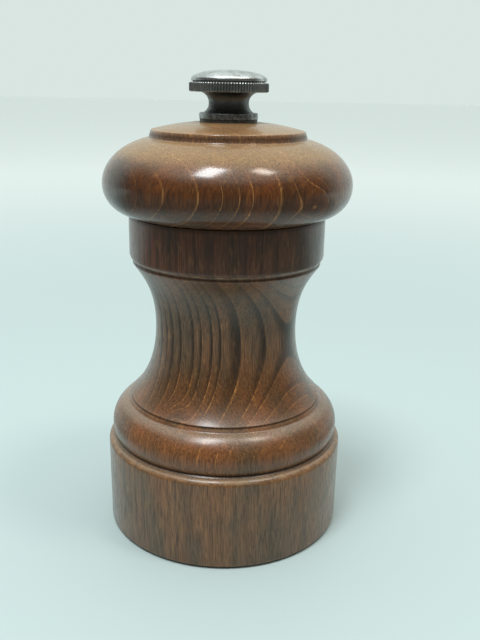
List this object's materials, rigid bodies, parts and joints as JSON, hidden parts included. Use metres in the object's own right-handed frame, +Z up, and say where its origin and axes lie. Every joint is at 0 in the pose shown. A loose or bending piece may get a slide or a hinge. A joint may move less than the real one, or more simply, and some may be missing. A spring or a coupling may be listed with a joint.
{
  "type": "pepper mill",
  "caption": "Small turned wooden pepper mill with a rounded head, a waisted body on a wide plinth, a knurled metal adjusting knob and a steel grinding mechanism inside.",
  "frame": {"origin": "centre of the plinth's foot, on the surface that the mill stands on", "axes": "+Z up along the turning axis towards the knob; +X along the bridge's legs"},
  "size_m": [0.0532, 0.0532, 0.1],
  "materials": {
    "stained_wood": "walnut-stained beech under a worn semi-gloss lacquer",
    "burr_steel": "hardened dark steel with peppery dust in the teeth",
    "shaft_steel": "drawn bright steel, slightly dulled",
    "zinc_steel": "stamped zinc-plated steel, dull",
    "spring_steel": "spring wire, satin",
    "screw_steel": "plain steel wood screws, dull",
    "knob_steel": "worn nickel plating, bright dome, dark dirt in the knurls and neck"
  },
  "bodies": {
    "body": {"mill_body": "stained_wood", "burr_ring": "burr_steel", "retaining_plate": "zinc_steel", "retaining_screws": "screw_steel", "bridge": "zinc_steel"},
    "spring_seat": {"spring_washer": "zinc_steel", "spring": "spring_steel"},
    "spindle": {"shaft": "shaft_steel", "inner_burr": "burr_steel", "burr_washer": "zinc_steel"},
    "head": {"head": "stained_wood", "drive_plate": "zinc_steel", "drive_plate_screws": "screw_steel"},
    "washer": {"knob_washer": "shaft_steel"},
    "knob": {"knob": "knob_steel"}
  },
  "joints": [
    {"name": "grind_turn", "type": "hinge", "parent": "body", "child": "spring_seat", "pos_m": [0, 0, 0], "axis": [0, 0, 1], "continuous": true},
    {"name": "grind_adjust", "type": "slide", "parent": "spring_seat", "child": "spindle", "axis": [0, 0, 1], "range_m": [0, 0.0012], "deforming": ["spring"]},
    {"name": "head_lift", "type": "slide", "parent": "spring_seat", "child": "head", "axis": [0, 0, 1], "range_m": [0, 0.045]},
    {"name": "knob_lift", "type": "slide", "parent": "head", "child": "washer", "axis": [0, 0, 1], "range_m": [0, 0.02]},
    {"name": "knob_turn", "type": "hinge", "parent": "washer", "child": "knob", "pos_m": [0, 0, 0.0902], "axis": [0, 0, 1], "range_deg": [-540, 0]}
  ],
  "couplings": [
    {"joint": "grind_adjust", "follows": "knob_turn", "m_per_rad": -0.00012732}
  ]
}
